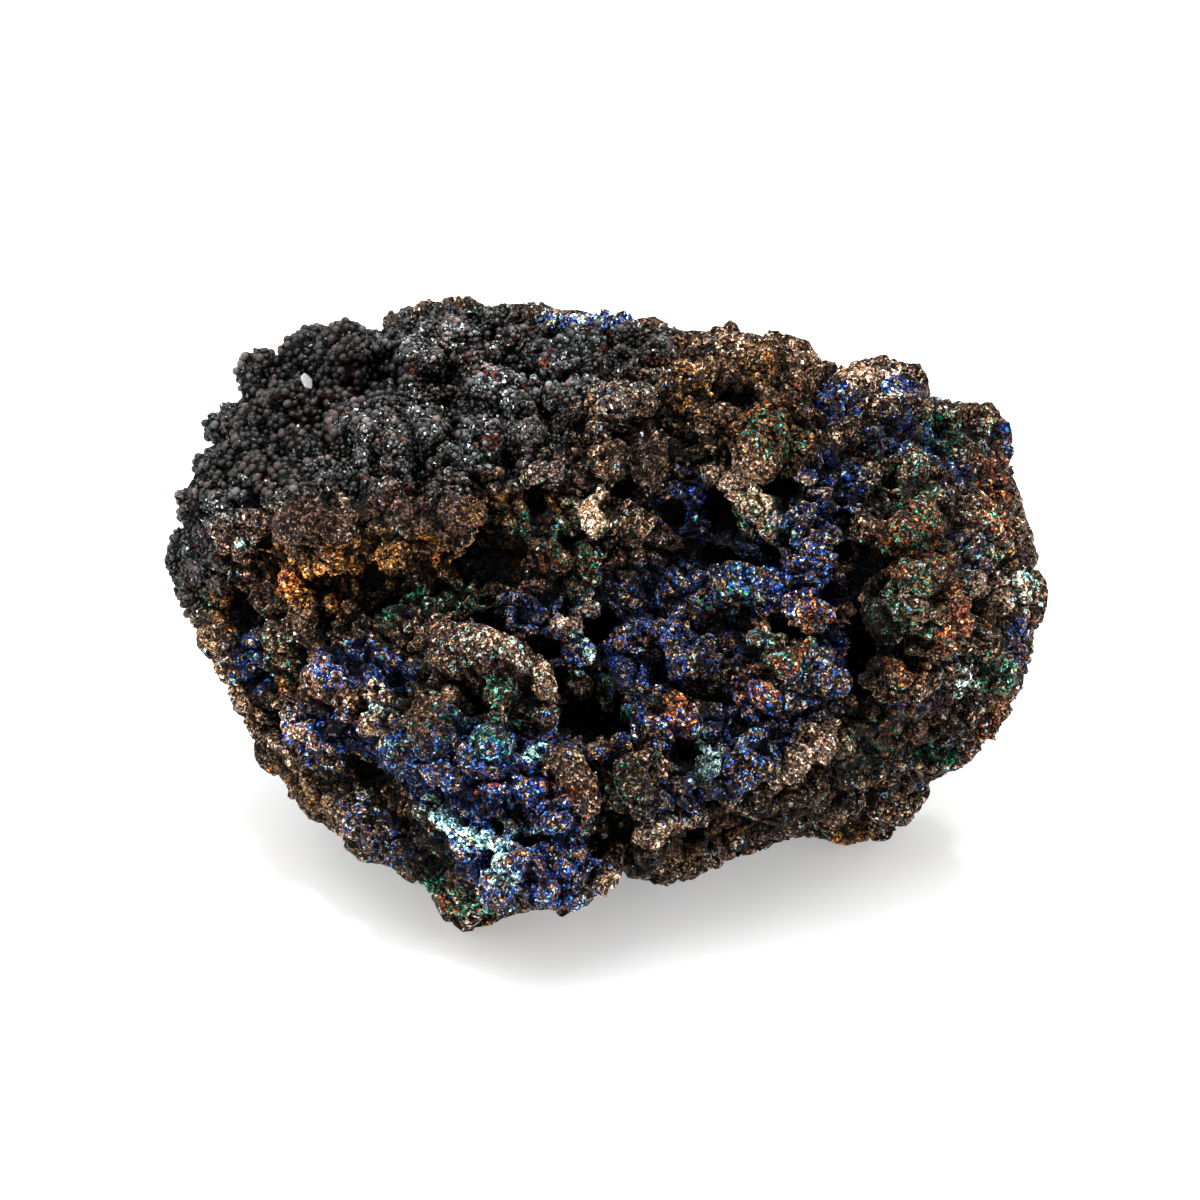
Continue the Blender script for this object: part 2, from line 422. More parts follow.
def coverings(points, seats):
    """How strongly each kind covers each point, from 0 to 1, one column a kind."""
    shown = np.zeros((len(points), len(KINDS)))
    wander = PATCH_WANDER * rough_noise(points, 2.4, 11, 3)
    for patch, middle in zip(PATCHES, seats):
        widest = max(patch.reach_x, patch.reach_y)
        index = np.nonzero(np.linalg.norm(points - middle, axis=1) < PATCH_LIMIT * widest)[0]
        off = points[index] - middle
        turn = math.radians(patch.turn)
        across = off @ (RIGHT * math.cos(turn) + UP * math.sin(turn)) / patch.reach_x
        over = off @ (UP * math.cos(turn) - RIGHT * math.sin(turn)) / patch.reach_y
        deep = off @ TOWARDS / (PATCH_DEPTH * widest)
        far = np.sqrt(across**2 + over**2 + deep**2) + wander[index]
        share = patch.amount * ramp(far, *PATCH_EDGE)
        own = KINDS.index(patch.kind)
        shown[index, own] = np.maximum(shown[index, own], share)
    return shown


def drift(points, kind):
    return rough_noise(points, DRIFT_SIZE, 40 + 5 * KINDS.index(kind), 3)


def unseen_coverings(points, facing):
    """What covers the sides that the view doesn't show: kinds in drifts, as on the front."""
    grown = np.zeros((len(points), len(KINDS)))
    high = ramp(points[:, 2], 22, 40)
    left = ramp(points[:, 0], 8, -18)
    cap = high * left + 0.4 * drift(points, "goethite")
    grown[:, KINDS.index("goethite")] = ramp(cap, 0.35, 0.6)
    for kind, share, start, full in UNSEEN:
        grown[:, KINDS.index(kind)] = share * ramp(drift(points, kind), start, full)
    grown[:, KINDS.index("azurite")] *= 1 - cap.clip(0, 1)
    return grown * ramp(facing, 0.2, -0.25)[:, None]


def all_coverings(points, normals, seats):
    """All that covers each point; azurite keeps the cap's goethite off."""
    found = np.maximum(coverings(points, seats), unseen_coverings(points, normals @ TOWARDS))
    found[:, KINDS.index("goethite")] *= 1 - 0.9 * found[:, KINDS.index("azurite")]
    return np.clip(found, 0, 1)


def column(shown, kind):
    return shown[:, KINDS.index(kind)]


def view_places(points):
    """Where the view shows each point, in its grid, and how near it is along the view (mm)."""
    off = points - AIM
    near = off @ TOWARDS
    scale = VIEW_DISTANCE / (VIEW_DISTANCE - near) / STEP
    at = np.stack((LAYOUT / 2 + off @ RIGHT * scale, LAYOUT / 2 - off @ UP * scale), axis=1)
    return at, near


def in_view(at, near, normals):
    """How surely the view shows each point: 1 in front, 0 behind something or turned away."""
    cells = np.clip((at / VIEW_CELL).astype(int), 0, LAYOUT // VIEW_CELL - 1)
    front = np.full((LAYOUT // VIEW_CELL,) * 2, -1e3)
    np.maximum.at(front, (cells[:, 0], cells[:, 1]), near)
    depth = front[cells[:, 0], cells[:, 1]] - near
    return ramp(depth, 6, 3) * ramp(normals @ TOWARDS, -0.25, 0.1)


def knobbed(at, wobble):
    """How far the named knobs stand out at each place (mm), with a crease round each; the wobble
    keeps their outlines from looking round."""
    rise = np.zeros(len(at))
    for knob in KNOBS:
        reach = 1.4 * max(knob.wide, knob.high) / STEP
        index = np.nonzero(np.all(np.abs(at - (knob.x, knob.y)) < reach, axis=1))[0]
        across = (at[index, 0] - knob.x) * STEP
        up = (knob.y - at[index, 1]) * STEP
        turn = math.radians(knob.turn)
        along = (across * math.cos(turn) + up * math.sin(turn)) / knob.wide
        over = (up * math.cos(turn) - across * math.sin(turn)) / knob.high
        far = np.hypot(along, over) * wobble[index]
        least = min(knob.wide, knob.high)
        crease = np.exp(-(((far - CREASE_PLACE) / CREASE_WIDTH) ** 2))
        lift = KNOB_RISE * least * dome(far, 1.0) - CREASE_DEPTH * least * crease
        rise[index] = np.where(np.abs(lift) > np.abs(rise[index]), lift, rise[index])
    return np.clip(rise, *KNOB_LIMITS)


def edged(at, shown):
    """How far the named edges stand out at each place (mm); each also covers the stone it is on."""
    rise = np.zeros(len(at))
    for edge in EDGES:
        far = np.full(len(at), 99.0)
        for start, end in zip(edge.points, edge.points[1:]):
            start = np.array(start, float)
            way = np.array(end, float) - start
            share = np.clip((at - start) @ way / (way @ way), 0, 1)
            far = np.minimum(far, np.linalg.norm(at - start - share[:, None] * way, axis=1))
        profile = ramp(far * STEP, 1.5 * edge.wide, 0.3 * edge.wide)
        rise = np.maximum(rise, edge.high * profile)
        own = KINDS.index(edge.kind)
        shown[:, own] = np.maximum(shown[:, own], EDGE_COVER * profile)
    return rise


def mesh_arrays(mesh):
    """Points, normals and triangles of a mesh, the points in millimetres."""
    points = np.empty(len(mesh.vertices) * 3)
    mesh.vertices.foreach_get("co", points)
    normals = np.empty(len(mesh.vertices) * 3)
    mesh.vertices.foreach_get("normal", normals)
    mesh.calc_loop_triangles()
    triangles = np.empty(len(mesh.loop_triangles) * 3, np.int64)
    mesh.loop_triangles.foreach_get("vertices", triangles)
    return points.reshape(-1, 3) / MM, normals.reshape(-1, 3), triangles.reshape(-1, 3)


def write_points(mesh, points):
    mesh.vertices.foreach_set("co", (points * MM).astype(np.float32).ravel())
    mesh.update()


def write_numbers(mesh, name, values):
    layer = mesh.attributes.new(name, "FLOAT", "POINT")
    layer.data.foreach_set("value", np.asarray(values, np.float32))


def applied(obj):
    """The object with its modifiers made part of its mesh."""
    graph = bpy.context.evaluated_depsgraph_get()
    made = bpy.data.meshes.new_from_object(obj.evaluated_get(graph))
    obj.modifiers.clear()
    obj.data = made
    return obj


def linked(name, data):
    obj = bpy.data.objects.new(name, data)
    bpy.context.scene.collection.objects.link(obj)
    return obj


def blank_skin():
    """The solid's surface as an even, fine mesh."""
    bm = bmesh.new()
    bm.from_mesh(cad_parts[NODE].data)
    bmesh.ops.remove_doubles(bm, verts=bm.verts, dist=1e-6)
    mesh = bpy.data.meshes.new("stone_skin")
    bm.to_mesh(mesh)
    bm.free()
    skin = linked("stone_skin", mesh)
    remesh = skin.modifiers.new("Even", "REMESH")
    remesh.mode = "VOXEL"
    remesh.voxel_size = SKIN_VOXEL * MM
    return applied(skin)


def smoothed(mesh, points, steps):
    """The points, each drawn halfway to the mean of its neighbours, some times over."""
    ends = np.empty(len(mesh.edges) * 2, np.int64)
    mesh.edges.foreach_get("vertices", ends)
    ends = ends.reshape(-1, 2)
    starts = np.concatenate((ends[:, 0], ends[:, 1]))
    others = np.concatenate((ends[:, 1], ends[:, 0]))
    counts = np.bincount(starts, minlength=len(points))
    for _ in range(steps):
        sums = [np.bincount(starts, points[others, i], len(points)) for i in range(3)]
        points = 0.5 * points + 0.5 * np.stack(sums, axis=1) / counts[:, None]
    return points


def drifts(points, size, seed):
    """A soft random shift for each point, to keep cells and edges from looking even."""
    return np.stack([rough_noise(points, size, seed + 3 * i, 2) for i in range(3)], axis=1)


def relief(points, shown, bulge):
    """How far each point of the skin stands out (mm): knuckles, knobs, beads, grit, pits and cracks.
    The solid's own lumps and hollows, given as the bulge, are drawn out a little further. The cap and
    the plain crusts are smoother than the rest."""
    cap = column(shown, "goethite")
    plain = np.maximum(column(shown, "mauve"), 0.6 * column(shown, "ochre"))
    rough = (1 - 0.7 * cap) * (1 - 0.5 * plain)
    moved = points + 0.6 * drifts(points, 3.0, 71)
    drawn = moved - np.outer(0.5 * (1 - cap) * (moved @ LUMPS_WAY), LUMPS_WAY)
    height = SWELL * rough_noise(points, SWELL_SIZE, 3, 2) - SUNK
    height += DRAWN_OUT * np.clip(bulge, *BULGE_LIMITS)
    # Knuckles with cracks between them.
    one, other, own = nearest_cells(moved, KNUCKLE_SIZE, 21)
    height += (0.4 + 0.45 * cap) * (0.6 + 0.8 * own) * dome(one, 0.82)
    height -= (0.5 + 0.9 * cap) * ramp(other - one, 0.17, 0.0)
    # Lumps drawn out along one way, with finer cracks.
    one, other, own = nearest_cells(drawn, LUMP_SIZE, 22)
    height += (0.6 - 0.25 * cap) * (1 - 0.4 * plain) * (0.2 + own) * dome(one, 0.8)
    height -= 0.7 * (1 - 0.5 * plain) * ramp(other - one, 0.16, 0.0)
    # Nubs on the lumps.
    one, _, own = nearest_cells(points, NUB_SIZE, 23)
    height += (0.3 - 0.05 * cap) * (0.4 + own) * dome(one, 0.75)
    # Pits and pores in some of the cells.
    pit, _, own = nearest_cells(moved, PIT_SIZE, 24)
    height -= PIT_DEPTH * rough * ramp(own, 0.5, 0.62) * ramp(pit, 0.44, 0.2)
    pore, _, own = nearest_cells(moved, PORE_SIZE, 25)
    height -= PORE_DEPTH * rough * ramp(own, 0.52, 0.6) * ramp(pore, 0.42, 0.15)
    # Grit.
    grain, _, _ = nearest_cells(points, GRIT_SIZE, 26)
    height += GRIT_HEIGHT * (1 - cap) * (0.5 - grain)
    return height


def standing_out(mesh, height):
    """How much each point stands over the ones around it, from 0 in a crack to 1 on a top."""
    points, normals, _ = mesh_arrays(mesh)
    near = smoothed(mesh, points, NEAR_STEPS)
    far = smoothed(mesh, near, FAR_STEPS)
    farthest = smoothed(mesh, far, FARTHEST_STEPS)
    fine = np.einsum("ij,ij->i", points - near, normals)
    broad = np.einsum("ij,ij->i", points - far, normals)
    widest = np.einsum("ij,ij->i", far - farthest, normals)
    return ramp(2.0 * fine + 1.3 * broad + 0.45 * widest + 0.1 * (height + 0.4), -0.9, 0.9)


def toned(shown, high):
    """The coverings as the relief sorts them: blue in the hollows, pale dust on the tops."""
    shares = {
        "azurite": 1.2 - 0.7 * high, "malachite": 0.6 + 0.4 * high, "turquoise": 0.6 + 0.4 * high,
        "tan": 0.35 + 0.65 * high, "ochre": 1.1 - 0.2 * high,
    }
    for kind, share in shares.items():
        shown[:, KINDS.index(kind)] *= share
    return np.clip(shown, 0, 1)


def tone(shown, high):
    """How light the stone is, as a share of its colours: dark in cracks and sooty places."""
    plain = (CRACK_TONE + TOP_TONE * high**TONE_TURN) * (1 - 0.05 * column(shown, "goethite"))
    return plain * 2.0 ** (LIGHT_POWER * column(shown, "light") - DARK_POWER * column(shown, "dark"))


def build_skin(seats):
    """The stone's surface: the solid's, smoothed, then given its relief and what covers it."""
    skin = blank_skin()
    points, _, _ = mesh_arrays(skin.data)
    write_points(skin.data, smoothed(skin.data, points, SMOOTHING_STEPS))
    points, normals, _ = mesh_arrays(skin.data)
    shown = all_coverings(points, normals, seats)
    even = smoothed(skin.data, points, EVENING_STEPS)
    bulge = np.einsum("ij,ij->i", points - even, normals)
    filled = FILLING * ramp(-bulge, *FILLED_HOLLOWS)[:, None]
    points = points * (1 - filled) + even * filled
    wandered = points + 0.9 * drifts(points, 4.0, 91) + 0.35 * drifts(points, 1.3, 95)
    at, near = view_places(wandered)
    front = in_view(at, near, normals)
    named = np.zeros_like(shown)
    wobble = 1 + 0.35 * rough_noise(points, 3.2, 97, 2)
    height = front * (knobbed(at, wobble) + edged(at, named))
    shown = np.maximum(shown, named * front[:, None])
    facing = np.abs(normals @ TOWARDS)
    highest = RIM_BUMP + (HIGHEST_BUMP - RIM_BUMP) * ramp(facing, 0.05, 0.5)
    height = np.clip(height + relief(points, shown, bulge), -DEEPEST_DENT, highest)
    points = points + normals * height[:, None] + RAGGEDNESS * drifts(points, 2.6, 81)
    points[:, 2] = np.maximum(points[:, 2], CAD_BOX[0].z / MM)
    write_points(skin.data, points)
    high = standing_out(skin.data, height)
    shown = toned(shown, high)
    for kind in KINDS:
        write_numbers(skin.data, kind, column(shown, kind))
    write_numbers(skin.data, "tone", tone(shown, high))
    thin = skin.modifiers.new("Thin", "DECIMATE")
    count = sum(len(face.vertices) - 2 for face in skin.data.polygons)
    thin.ratio = min(1, SKIN_TRIANGLES / count)
    thin.use_collapse_triangulate = True
    return applied(skin)


def read_numbers(mesh, name):
    values = np.empty(len(mesh.vertices), np.float32)
    mesh.attributes[name].data.foreach_get("value", values)
    return values.astype(np.float64)


def dress(obj, material):
    obj.data.materials.clear()
    obj.data.materials.append(material)


class Shading:
    """A material's nodes, with short ways to add and join them."""

    def __init__(self, name):
        self.material = bpy.data.materials.new(name)
        self.material.use_nodes = True
        self.tree = self.material.node_tree
        self.shader = self.tree.nodes["Principled BSDF"]

    def put(self, socket, value):
        if isinstance(value, bpy.types.NodeSocket):
            self.tree.links.new(value, socket)
        else:
            socket.default_value = value

    def shade(self, name, value):
        """Sets an input of the shader, to a number or to what a node gives."""
        self.put(self.shader.inputs[name], value)

    def attribute(self, name):
        node = self.tree.nodes.new("ShaderNodeAttribute")
        node.attribute_name = name
        return node.outputs["Fac"]

    def place(self):
        return self.tree.nodes.new("ShaderNodeTexCoord").outputs["Object"]

    def texture(self, kind, size, place):
        """A texture of this size in mm, on these places."""
        node = self.tree.nodes.new("ShaderNodeTex" + kind)
        self.put(node.inputs["Vector"], place)
        self.put(node.inputs["Scale"], 1 / (size * MM))
        return node

    def warped(self, size, shift):
        """Places shifted at random by up to so much (mm), so that cells on them look uneven."""
        node = self.texture("Noise", size, self.place())
        self.put(node.inputs["Detail"], 1.0)
        off = self.vector("SUBTRACT", node.outputs["Color"], (0.5, 0.5, 0.5))
        return self.vector("ADD", self.place(), self.vector("SCALE", off, 4 * shift * MM))

    def cells(self, size, place):
        """Flat cells: a random colour each, and the distance to the middle."""
        node = self.texture("Voronoi", size, place)
        return node.outputs["Color"], node.outputs["Distance"]

    def noise(self, size, detail=3.0):
        node = self.texture("Noise", size, self.place())
        self.put(node.inputs["Detail"], detail)
        return node.outputs["Fac"]

    def channels(self, colour):
        node = self.tree.nodes.new("ShaderNodeSeparateColor")
        self.put(node.inputs["Color"], colour)
        return [node.outputs[name] for name in ("Red", "Green", "Blue")]

    def math(self, operation, first, second):
        node = self.tree.nodes.new("ShaderNodeMath")
        node.operation = operation
        self.put(node.inputs[0], first)
        self.put(node.inputs[1], second)
        return node.outputs[0]

    def vector(self, operation, first, second):
        node = self.tree.nodes.new("ShaderNodeVectorMath")
        node.operation = operation
        self.put(node.inputs[0], first)
        self.put(node.inputs[3] if operation == "SCALE" else node.inputs[1], second)
        return node.outputs[0]

    def mix(self, share, first, second, blend="MIX"):
        node = self.tree.nodes.new("ShaderNodeMix")
        node.data_type = "RGBA"
        node.blend_type = blend
        self.put(node.inputs["Factor"], share)
        self.put(node.inputs[6], first)
        self.put(node.inputs[7], second)
        return node.outputs[2]

    def steps(self, value, colours, interpolation="CONSTANT"):
        """Colours by value: pairs of a start from 0 to 1 and a colour."""
        node = self.tree.nodes.new("ShaderNodeValToRGB")
        self.put(node.inputs["Fac"], value)
        node.color_ramp.interpolation = interpolation
        stops = node.color_ramp.elements
        for start, _ in colours[1:-1]:
            stops.new(start)
        stops[0].position = colours[0][0]
        stops[len(stops) - 1].position = colours[-1][0]
        for stop, (_, colour) in zip(stops, colours):
            stop.color = (*colour, 1)
        return node.outputs["Color"]

    def below(self, first, second):
        """1 where the first is less than the second."""
        return self.math("LESS_THAN", first, second)

    def span(self, value, low, high):
        """A value from 0 to 1 carried to a range."""
        node = self.tree.nodes.new("ShaderNodeMapRange")
        self.put(node.inputs["Value"], value)
        self.put(node.inputs["To Min"], low)
        self.put(node.inputs["To Max"], high)
        return node.outputs["Result"]

    def fall(self, value, start, end, first, last):
        """The first number where the value is at the start, the last at the end, smooth between."""
        node = self.tree.nodes.new("ShaderNodeMapRange")
        node.interpolation_type = "SMOOTHSTEP"
        self.put(node.inputs["Value"], value)
        for name, number in zip(("From Min", "From Max", "To Min", "To Max"), (start, end, first, last)):
            self.put(node.inputs[name], number)
        return node.outputs["Result"]

    def glinting_normal(self, colour, amount, base):
        """A normal, tilted at random in each cell, as crystal faces are."""
        tilt = self.vector("SUBTRACT", colour, (0.5, 0.5, 0.5))
        tilt = self.vector("SCALE", tilt, amount)
        return self.vector("NORMALIZE", self.vector("ADD", base, tilt), (0, 0, 0))

    def bump(self, height, distance_mm):
        node = self.tree.nodes.new("ShaderNodeBump")
        self.put(node.inputs["Strength"], 1.0)
        self.put(node.inputs["Distance"], distance_mm * MM)
        self.put(node.inputs["Height"], height)
        return node.outputs["Normal"]


# Colours, as linear red, green and blue.
BLACK = (0.001, 0.001, 0.0015)
CHARCOAL = (0.016, 0.0165, 0.016)
SLATE = (0.07, 0.078, 0.078)
GREY = (0.38, 0.42, 0.42)
UMBER = (0.008, 0.004, 0.0022)
BROWN = (0.032, 0.0165, 0.0095)
MAUVE = (0.06, 0.035, 0.029)
TAWNY = (0.115, 0.058, 0.032)
BEIGE = (0.29, 0.195, 0.125)
CREAM = (0.52, 0.42, 0.31)
OLIVE = (0.03, 0.024, 0.005)
AMBER = (0.19, 0.092, 0.018)
ORANGE = (0.45, 0.17, 0.035)
RUST = (0.17, 0.032, 0.007)
MAROON = (0.045, 0.009, 0.005)
NAVY = (0.0015, 0.0022, 0.016)
ULTRAMARINE = (0.005, 0.016, 0.11)
AZURE = (0.014, 0.078, 0.36)
SKY = (0.09, 0.3, 0.62)
ICE = (0.55, 0.68, 0.8)
FOAM = (0.42, 0.62, 0.56)
FOREST = (0.002, 0.022, 0.01)
GREEN = (0.006, 0.125, 0.07)
MINT = (0.11, 0.37, 0.25)
PALE_TURQUOISE = (0.2, 0.4, 0.36)


def skin_material():
    """The stone itself: flecks of every kind in the shares that the coverings give."""
    s = Shading("stone_skin")
    wavy = s.warped(0.45, 0.2)
    fleck, edge = s.cells(FLECK_SIZE, wavy)
    speck, _ = s.cells(SPECK_SIZE, wavy)
    _, bead = s.cells(CLUSTER_SIZE, s.warped(1.2, 0.3))
    first, second, third = s.channels(fleck)
    fourth, fifth, sixth = s.channels(speck)
    drift = s.noise(5.0)
    clump = s.math("SUBTRACT", s.noise(1.3, 2.0), 0.5)
    ground = s.steps(first, [(0, BLACK), (0.17, UMBER), (0.34, BROWN), (0.54, TAWNY), (0.85, BEIGE),
                             (0.975, CREAM)])
    ground = s.mix(s.span(drift, -0.6, 0.9), ground, s.steps(second, [(0, UMBER), (0.5, OLIVE)]))
    skins = {
        "mauve": s.steps(second, [(0, UMBER), (0.2, MAUVE), (0.6, BROWN), (0.8, TAWNY)]),
        "ochre": s.steps(second, [(0, BROWN), (0.2, AMBER), (0.68, ORANGE), (0.9, RUST)]),
        "rust": s.steps(third, [(0, UMBER), (0.25, MAROON), (0.55, RUST), (0.88, ORANGE)]),
        "azurite": s.steps(second, [(0, NAVY), (0.25, ULTRAMARINE), (0.66, AZURE), (0.9, SKY),
                                    (0.97, ICE)]),
        "malachite": s.steps(third, [(0, FOREST), (0.3, GREEN), (0.75, MINT)]),
        "turquoise": s.steps(second, [(0, PALE_TURQUOISE), (0.6, FOAM), (0.93, SKY)]),
        "tan": s.steps(third, [(0, TAWNY), (0.45, BEIGE), (0.85, CREAM)]),
    }
    chances = {
        "mauve": fourth, "ochre": fifth, "rust": first, "azurite": sixth, "malachite": fourth,
        "turquoise": fifth, "tan": first,
    }
    sprinkled = [(0, CREAM), (0.3, MINT), (0.5, ORANGE), (0.75, SKY), (0.9, ICE)]
    colour = s.mix(s.below(fifth, 0.07), ground, s.steps(second, sprinkled))
    for kind, skin in skins.items():
        share = s.math("MULTIPLY", s.attribute(kind), s.math("ADD", clump, 0.85))
        colour = s.mix(s.below(chances[kind], share), colour, skin)
    cap = s.steps(second, [(0, BLACK), (0.3, CHARCOAL), (0.7, SLATE), (0.94, GREY)])
    cap = s.mix(s.below(s.noise(2.2), 0.4), cap, s.steps(third, [(0, BLACK), (0.4, MAROON)]))
    colour = s.mix(s.attribute("goethite"), colour, cap)
    fine_gaps = s.fall(edge, 0.2, 0.7, 1.7, 0.06)
    bead_gaps = s.fall(bead, 0.35, 0.8, 1.3, 0.2)
    gaps = s.math("MULTIPLY", fine_gaps, bead_gaps)
    colour = s.mix(1.0, colour, s.math("MULTIPLY", s.attribute("tone"), gaps), "MULTIPLY")
    s.shade("Base Color", colour)
    s.shade("Roughness", s.span(third, 0.22, 0.8))
    normal = s.bump(s.math("SUBTRACT", s.noise(0.3, 2.0), bead), 0.2)
    s.shade("Normal", s.glinting_normal(fleck, 0.7, normal))
    s.shade("Specular IOR Level", 0.1)
    return s.material


def grain_material(name, colours, roughness):
    """Small crystals: each has its own colour, from the number that its mesh carries."""
    s = Shading(name)
    own = s.attribute("own")
    colour = s.steps(own, colours)
    cloud = s.noise(0.25, 2.0)
    dull = s.math("MULTIPLY", s.span(cloud, 0.4, 1.4), s.attribute("tone"))
    colour = s.mix(1.0, colour, dull, "MULTIPLY")
    s.shade("Base Color", colour)
    s.shade("Roughness", s.span(cloud, *roughness))
    s.shade("Specular IOR Level", 0.4)
    return s.material


def ball(subdivisions):
    """Points and triangles of a ball of radius 1."""
    bm = bmesh.new()
    bmesh.ops.create_icosphere(bm, subdivisions=subdivisions, radius=1)
    points = np.array([vert.co for vert in bm.verts])
    triangles = np.array([[vert.index for vert in face.verts] for face in bm.faces])
    bm.free()
    return points, triangles


def crystal():
    """A blunt double pyramid on a lozenge, of 8 faces."""
    points = np.array([
        (1.0, 0.0, 0.0), (0.0, 0.62, 0.08), (-1.0, 0.0, 0.0), (0.0, -0.62, -0.08),
        (0.15, 0.0, 0.62), (-0.15, 0.0, -0.62),
    ])
    ring = ((0, 1), (1, 2), (2, 3), (3, 0))
    triangles = [(a, b, 4) for a, b in ring] + [(b, a, 5) for a, b in ring]
    return points, np.array(triangles)


class Surface:
    """The finished skin as arrays, to seat crystals on."""

    def __init__(self, skin):
        self.points, _, self.triangles = mesh_arrays(skin.data)
        self.shown = np.stack([read_numbers(skin.data, kind) for kind in KINDS], axis=1)
        self.light = read_numbers(skin.data, "tone")

    def spread(self, count, rng):
        """Seats spread evenly over the surface, with their normals, coverings and lightness."""
        corners = self.points[self.triangles]
        crossed = np.cross(corners[:, 1] - corners[:, 0], corners[:, 2] - corners[:, 0])
        area = np.linalg.norm(crossed, axis=1)
        picked = rng.choice(len(area), count, p=area / area.sum())
        u = np.sqrt(rng.random(count))
        v = rng.random(count)
        weights = np.stack((1 - u, u * (1 - v), u * v), axis=1)
        used = self.triangles[picked]
        seats = np.einsum("ij,ijk->ik", weights, corners[picked])
        shown = np.einsum("ij,ijk->ik", weights, self.shown[used])
        light = np.einsum("ij,ij->i", weights, self.light[used])
        return seats, crossed[picked] / area[picked][:, None], shown, light


def turned_frames(normals, lean, rng):
    """A random frame for each seat: its third axis near the normal, leaning by up to so much."""
    out = normals + lean * rng.normal(size=normals.shape)
    out /= np.linalg.norm(out, axis=1)[:, None]
    across = np.cross(out, rng.normal(size=normals.shape))
    across /= np.linalg.norm(across, axis=1)[:, None]
    return np.stack((across, np.cross(out, across), out), axis=2)


def scatter(name, form, seats, frames, sizes, sunk, numbers, material):
    """One joined mesh of many copies of a form, seated on the stone."""
    shape, triangles = form
    stretched = shape[None] * sizes[:, None, :]
    placed = np.einsum("nij,nkj->nki", frames, stretched)
    placed += (seats - frames[:, :, 2] * sunk[:, None])[:, None]
    placed[:, :, 2] = np.maximum(placed[:, :, 2], 0)
    faces = triangles[None] + (np.arange(len(seats)) * len(shape))[:, None, None]
    mesh = bpy.data.meshes.new(name)
    mesh.from_pydata((placed.reshape(-1, 3) * MM).tolist(), [], faces.reshape(-1, 3).tolist())
    for title, values in numbers.items():
        write_numbers(mesh, title, np.repeat(values, len(shape)))
    obj = linked(name, mesh)
    dress(obj, material)
    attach(obj, "root")
    return obj


# Small crystals: the kinds that they grow on, their share elsewhere, how many, their half width (mm),
# how flat they lie, their colours and their gloss.
Druse = namedtuple("Druse", "name kinds everywhere count least most lean colours roughness")
DRUSES = [
    Druse("azurite_druse", ("azurite",), 0.03, 21000, 0.08, 0.22, 0.9,
          [(0, NAVY), (0.25, ULTRAMARINE), (0.6, AZURE), (0.9, SKY), (0.965, ICE)], (0.1, 0.35)),
    Druse("malachite_grains", ("malachite",), 0.05, 8000, 0.075, 0.18, 0.9,
          [(0, FOREST), (0.25, GREEN), (0.7, MINT), (0.93, FOAM)], (0.3, 0.6)),
    Druse("limonite_grains", ("ochre", "rust"), 0.05, 11000, 0.085, 0.22, 0.9,
          [(0, UMBER), (0.12, MAROON), (0.3, RUST), (0.6, AMBER), (0.8, ORANGE)], (0.4, 0.7)),
    Druse("pale_grains", ("tan", "turquoise"), 0.05, 9000, 0.07, 0.18, 0.9,
          [(0, BROWN), (0.2, TAWNY), (0.45, BEIGE), (0.7, CREAM), (0.84, PALE_TURQUOISE), (0.93, FOAM)],
          (0.3, 0.6)),
    Druse("gossan_grains", ("mauve",), 0.6, 17000, 0.085, 0.24, 0.9,
          [(0, BLACK), (0.17, UMBER), (0.34, BROWN), (0.54, TAWNY), (0.87, BEIGE), (0.98, CREAM)],
          (0.25, 0.6)),
]
FRONT_FAVOUR = 2.2
# The cap's round beads, and the small ones that cover its knuckles: how many and their radius (mm).
BEADS = 1900
BEAD_SIZES = (0.34, 0.5)
SMALL_BEADS = 5400
SMALL_BEAD_SIZES = (0.18, 0.34)
# Where the cap's round beads show, as patches; the small ones cover the rest.
BEADED = [
    Patch("goethite", 300, 380, 9.5, 7, 0, 1), Patch("goethite", 240, 445, 7.5, 6, 0, 1),
    Patch("goethite", 372, 372, 4, 4, 0, 1),
]
# Where the white flake lies in the view, and its half sizes and its rise over the skin (mm).
FLAKE_PLACE = (303, 385)
FLAKE_SIZE = (0.86, 0.55, 0.13)
FLAKE_RISE = 1.2


def favoured(normals):
    """How much denser the grains are where the best view shows them."""
    return 1 + (FRONT_FAVOUR - 1) * ramp(normals @ TOWARDS, -0.3, 0.4)


def beaded(points, normals, seats):
    """How much of a point's goethite is round beads, from 0 to 1."""
    share = np.zeros(len(points))
    for patch, middle in zip(BEADED, seats):
        off = points - middle
        far = np.hypot(off @ RIGHT / patch.reach_x, off @ UP / patch.reach_y)
        share = np.maximum(share, ramp(far, 1.2, 0.9))
    return np.maximum(share, ramp(normals @ TOWARDS, 0.0, -0.2))


def grow_druses(surface, rng):
    form = crystal()
    for druse in DRUSES:
        seats, out, shown, light = surface.spread(6 * druse.count, rng)
        chance = np.maximum.reduce([column(shown, kind) for kind in druse.kinds]) + druse.everywhere
        chance *= 1 - 0.97 * column(shown, "goethite")
        if druse.name == "gossan_grains":
            chance *= 1 - 0.9 * column(shown, "azurite")
        if druse.name in ("azurite_druse", "malachite_grains"):
            chance *= 1 - 0.8 * np.maximum(column(shown, "mauve"), column(shown, "ochre"))
        chance = (chance + 1e-6) * favoured(out)
        kept = rng.choice(len(seats), druse.count, replace=False, p=chance / chance.sum())
        size = druse.least + (druse.most - druse.least) * rng.random(druse.count) ** 2
        sizes = size[:, None] * np.stack(
            [rng.uniform(0.7, 1.3, druse.count) for _ in range(3)], axis=1
        )
        numbers = {"own": rng.random(druse.count), "tone": light[kept]}
        scatter(druse.name, form, seats[kept], turned_frames(out[kept], druse.lean, rng), sizes,
                0.15 * size, numbers, grain_material(druse.name, druse.colours, druse.roughness))


